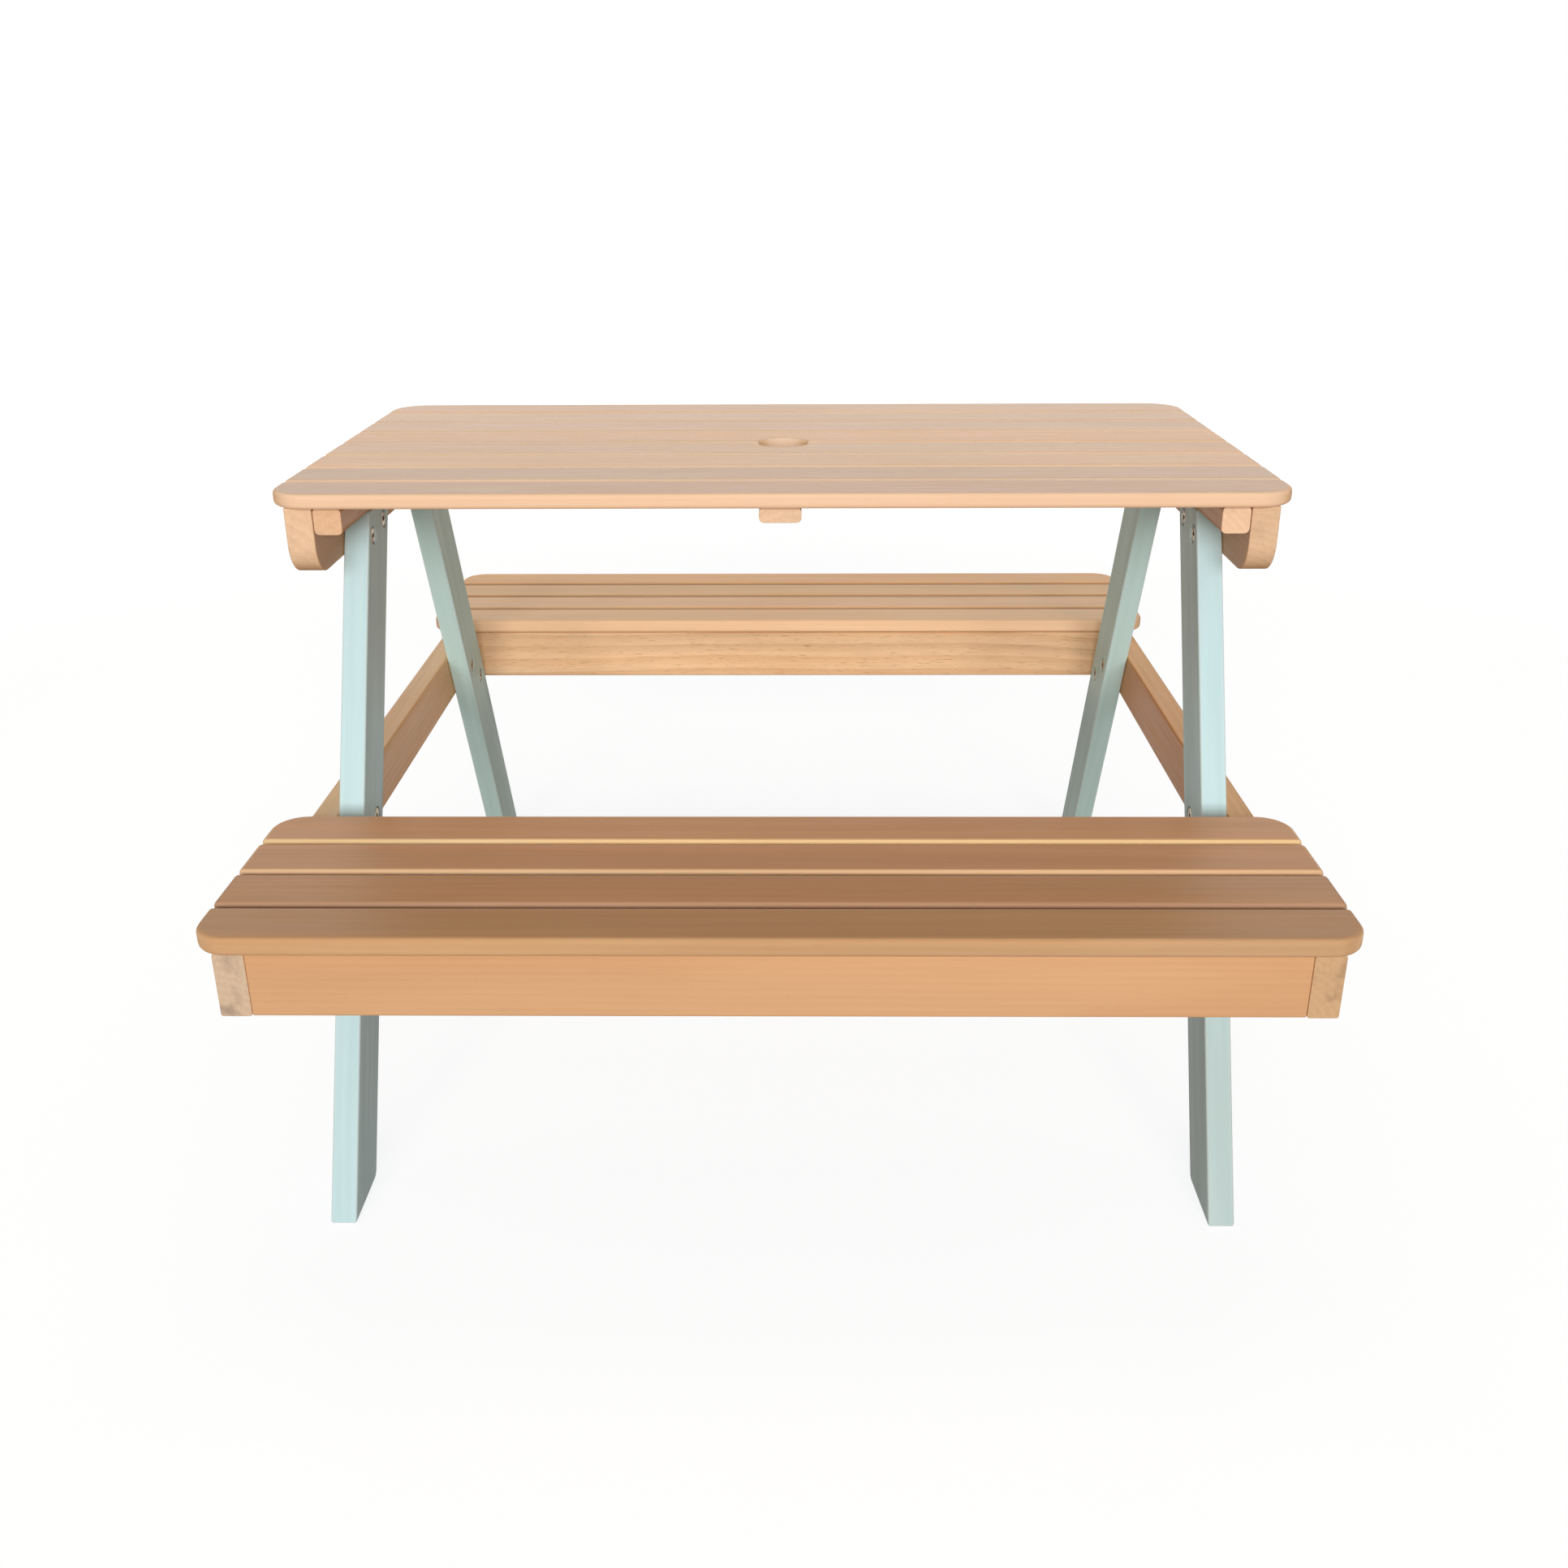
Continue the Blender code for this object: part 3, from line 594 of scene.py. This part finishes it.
def plating(name, bright, dull, dirt_and_shade):
    material, tree, shader = new_material(name)
    spot = add(tree, "ShaderNodeTexCoord").outputs["Object"]
    worn = add_group(tree, plating_group, {"Place": spot})
    colour = blend(tree, worn["Patches"], bright, dull)
    deep = 0.0
    # Darker socket and head foot: partly dirt, partly painted shade.
    if dirt_and_shade:
        across = sums(tree, "ABSOLUTE", add(tree, "ShaderNodeSeparateXYZ", {0: spot}).outputs[0])
        start = HEAD_FACE_FROM_MIDDLE + DIRT_AND_SHADE_FROM_FACE
        deep = remap(tree, across, start, start + DIRT_AND_SHADE_DEEPENS_OVER)
        colour = blend(tree, deep, colour, dirt_and_shade)
    tree.links.new(colour, shader.inputs["Base Color"])
    wornness = sums(tree, "MULTIPLY_ADD", worn["Patches"], PATCH_ROUGHNESS, worn["Scratches"])
    rough = remap(tree, wornness, WORN_FROM, WORN_TO, POLISHED, DULLED)
    tree.links.new(sums(tree, "MULTIPLY_ADD", deep, DIRT_ROUGHNESS, rough), shader.inputs["Roughness"])
    add_bump(tree, shader, worn["Scratches"], SCRATCH_BUMP, SCRATCH_DEPTH)
    shader.inputs["Metallic"].default_value = 1.0
    return material


# The darkest colour, in the sockets and round the heads, is partly dirt and partly painted shade.
bolt_metal = plating("yellow plating", linear(186, 170, 142), linear(118, 94, 74), linear(28, 19, 15))
for name in bolts:
    wear(name, bolt_metal)
print("plated", len(bolts), "bolts")

# %% [markdown]
# ## Screws
# Underneath, screws go up through the battens and cleats into each slat, so the top stays free of
# metal. A head could be a plain disc, but from below its domed edge and its four-armed recess show.
# One ring of points is repeated with different radii and heights, and the recess only needs a ring
# whose radius swings four times round. All the heads under one board are one piece.

# %% Screw heads
SCREW_STEPS = 24
HEAD_RADIUS = 0.0034
HEAD_HEIGHT = 0.001
RECESS_RADIUS = 0.0019
RECESS_PINCH = 0.55
SCREW_TO_BATTEN_END = 0.008

# Each ring has a radius, the share of it that is pinched away between the arms, and a height.
screw_rings = [
    (HEAD_RADIUS, 0.0, -0.1 * HEAD_HEIGHT),
    (HEAD_RADIUS, 0.0, 0.25 * HEAD_HEIGHT),
    (0.93 * HEAD_RADIUS, 0.0, 0.6 * HEAD_HEIGHT),
    (0.78 * HEAD_RADIUS, 0.0, 0.88 * HEAD_HEIGHT),
    (0.6 * HEAD_RADIUS, 0.0, HEAD_HEIGHT),
    (RECESS_RADIUS, RECESS_PINCH, HEAD_HEIGHT),
    (0.85 * RECESS_RADIUS, RECESS_PINCH, 0.2 * HEAD_HEIGHT),
]
screw_metal = plating("zinc plating", linear(196, 196, 192), linear(150, 150, 146), None)


def add_screw(shape, spot):
    """Adds one head below spot, facing down, turned by a chance angle."""
    start = random.Random(str(spot)).uniform(0, math.pi / 2)
    rings = []
    for radius, pinch, height in screw_rings:
        ring = []
        for step in range(SCREW_STEPS):
            angle = 2 * math.pi * step / SCREW_STEPS
            reach = radius * (1 - pinch * (1 - math.cos(2 * angle) ** 2))
            offset = Vector((reach * math.cos(angle + start), reach * math.sin(angle + start), -height))
            ring.append(shape.verts.new(spot + offset))
        rings.append(ring)
    for outer, inner in zip(rings, rings[1:]):
        for step in range(SCREW_STEPS):
            following = (step + 1) % SCREW_STEPS
            shape.faces.new((outer[step], inner[step], inner[following], outer[following])).smooth = True
    shape.faces.new(rings[-1])


def screws_under(carrier, slats):
    low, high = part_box(carrier)
    shape = bmesh.new()
    for slat in slats:
        slat_low, slat_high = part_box(slat)
        if slat_high.y > low.y and slat_low.y < high.y:
            middle = (slat_low.y + slat_high.y) / 2
            y = min(max(middle, low.y + SCREW_TO_BATTEN_END), high.y - SCREW_TO_BATTEN_END)
            add_screw(shape, Vector(((low.x + high.x) / 2, y, low.z)))
    bmesh.ops.recalc_face_normals(shape, faces=shape.faces)
    mesh = bpy.data.meshes.new("screws_" + carrier)
    shape.to_mesh(mesh)
    shape.free()
    mesh.materials.append(screw_metal)
    piece = bpy.data.objects.new("screws_" + carrier, mesh)
    bpy.context.scene.collection.objects.link(piece)
    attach(piece, "root")
    return piece


for name in sorted(pieces):
    if "batten" in name or "cleat" in name:
        group = "top_slat" if "batten" in name else name.split("_cleat")[0] + "_slat"
        piece = screws_under(name, sorted(slat for slat in pieces if slat.startswith(group)))
        print(piece.name, len(piece.data.polygons), "faces")

# %% [markdown]
# ## The floor and the light
# The picture has a plain white ground and soft light from the front, so that upright faces are
# bright and the tops are darker. One wide lamp stands far in front, a weak one hangs over the
# table, and one behind keeps the back from going dark. A weak even light fills the rest, and the
# camera and all reflections see white behind the table. The floor is clear from below, so that
# the underside can be looked at too.

# %% Floor
FLOOR_TO_EDGE = 7.0
FLOOR_SQUARES = 8
FLOOR_COLOUR = (0.32, 0.28, 0.25, 1.0)
FLOOR_ROUGHNESS = 0.9
FLOOR_GLOW = (0.80, 0.83, 0.85, 1.0)
GLOW_GROWS_FROM, GLOW_GROWS_TO = 1.5, 5.0
GLOW_NEAR, GLOW_FAR = 1.0, 1.3


def seen_directly(tree):
    """1 for what is looked at, also in a reflection or through glass, and 0 for light on the table."""
    rays = add(tree, "ShaderNodeLightPath").outputs
    seen = sums(tree, "MAXIMUM", rays["Is Camera Ray"], rays["Is Glossy Ray"])
    return sums(tree, "MAXIMUM", seen, rays["Is Transmission Ray"])


def make_floor():
    shape = bmesh.new()
    bmesh.ops.create_grid(shape, x_segments=FLOOR_SQUARES, y_segments=FLOOR_SQUARES, size=FLOOR_TO_EDGE)
    mesh = bpy.data.meshes.new("floor")
    shape.to_mesh(mesh)
    shape.free()
    floor = bpy.data.objects.new("floor", mesh)
    bpy.context.scene.collection.objects.link(floor)
    material, tree, shader = new_material("white floor")
    shader.inputs["Base Color"].default_value = FLOOR_COLOUR
    shader.inputs["Roughness"].default_value = FLOOR_ROUGHNESS
    shader.inputs["Specular IOR Level"].default_value = 0.0

    spot = add(tree, "ShaderNodeTexCoord").outputs["Object"]
    away = vectors(tree, "LENGTH", {0: spot}).outputs["Value"]
    strength = remap(tree, away, GLOW_GROWS_FROM, GLOW_GROWS_TO, GLOW_NEAR, GLOW_FAR)
    strength = sums(tree, "MULTIPLY", seen_directly(tree), strength)
    glow = add(tree, "ShaderNodeEmission", {"Color": FLOOR_GLOW, "Strength": strength})
    both = add(tree, "ShaderNodeAddShader", {0: shader.outputs[0], 1: glow.outputs[0]})
    below = add(tree, "ShaderNodeNewGeometry").outputs["Backfacing"]
    clear = add(tree, "ShaderNodeBsdfTransparent")
    one_sided = add(tree, "ShaderNodeMixShader", {0: below, 1: both.outputs[0], 2: clear.outputs[0]})
    tree.links.new(one_sided.outputs[0], tree.nodes["Material Output"].inputs["Surface"])
    mesh.materials.append(material)
    return floor


print("floor", *[round(side) for side in make_floor().dimensions[:2]], "m")

# %% [markdown]
# ## The lamps
# Wide lamps give soft shadows, and a lamp far away lights the front and the back of the table
# alike. The front one is tall as well, so that it reaches into the gaps between the slats. Only
# the weak lamp overhead shows in reflections: the low ones would turn the oiled top white from
# the far side. The even fill is a little warm, as light is that has bounced off wood.

# %% Light
EVEN_LIGHT = 0.28
FILL_COLOUR = (1.0, 0.90, 0.81, 1.0)
WHITE = (1.0, 1.0, 1.0, 1.0)
LAMP_AIM = Vector((0, 0, 0.3))

world = bpy.data.worlds.new("white room")
bpy.context.scene.world = world
world.use_nodes = True
tree = world.node_tree
tree.nodes.clear()
seen = seen_directly(tree)
strength = add(tree, "ShaderNodeMapRange", {0: seen, 3: EVEN_LIGHT, 4: 1.0}).outputs[0]
tint = blend(tree, seen, FILL_COLOUR, WHITE)
glow = add(tree, "ShaderNodeBackground", {"Color": tint, "Strength": strength})
add(tree, "ShaderNodeOutputWorld", {"Surface": glow.outputs[0]})


def soft_lamp(name, place, width, height, power, shine=True):
    lamp = bpy.data.lights.new(name, "AREA")
    lamp.shape = "RECTANGLE"
    lamp.size = width
    lamp.size_y = height
    lamp.energy = power
    holder = bpy.data.objects.new(name, lamp)
    holder.location = place
    holder.rotation_euler = (LAMP_AIM - Vector(place)).to_track_quat("-Z", "Y").to_euler()
    holder.visible_glossy = shine
    bpy.context.scene.collection.objects.link(holder)
    print(name, power, "W")


soft_lamp("front_lamp", place=(0.0, -14.0, 4.2), width=10.0, height=5.0, power=1760.0, shine=False)
soft_lamp("top_lamp", place=(0.0, 0.3, 4.0), width=3.0, height=2.0, power=14.0)
soft_lamp("back_lamp", place=(0.0, 6.0, 1.8), width=6.0, height=3.0, power=105.0, shine=False)
print("even fill of", EVEN_LIGHT)
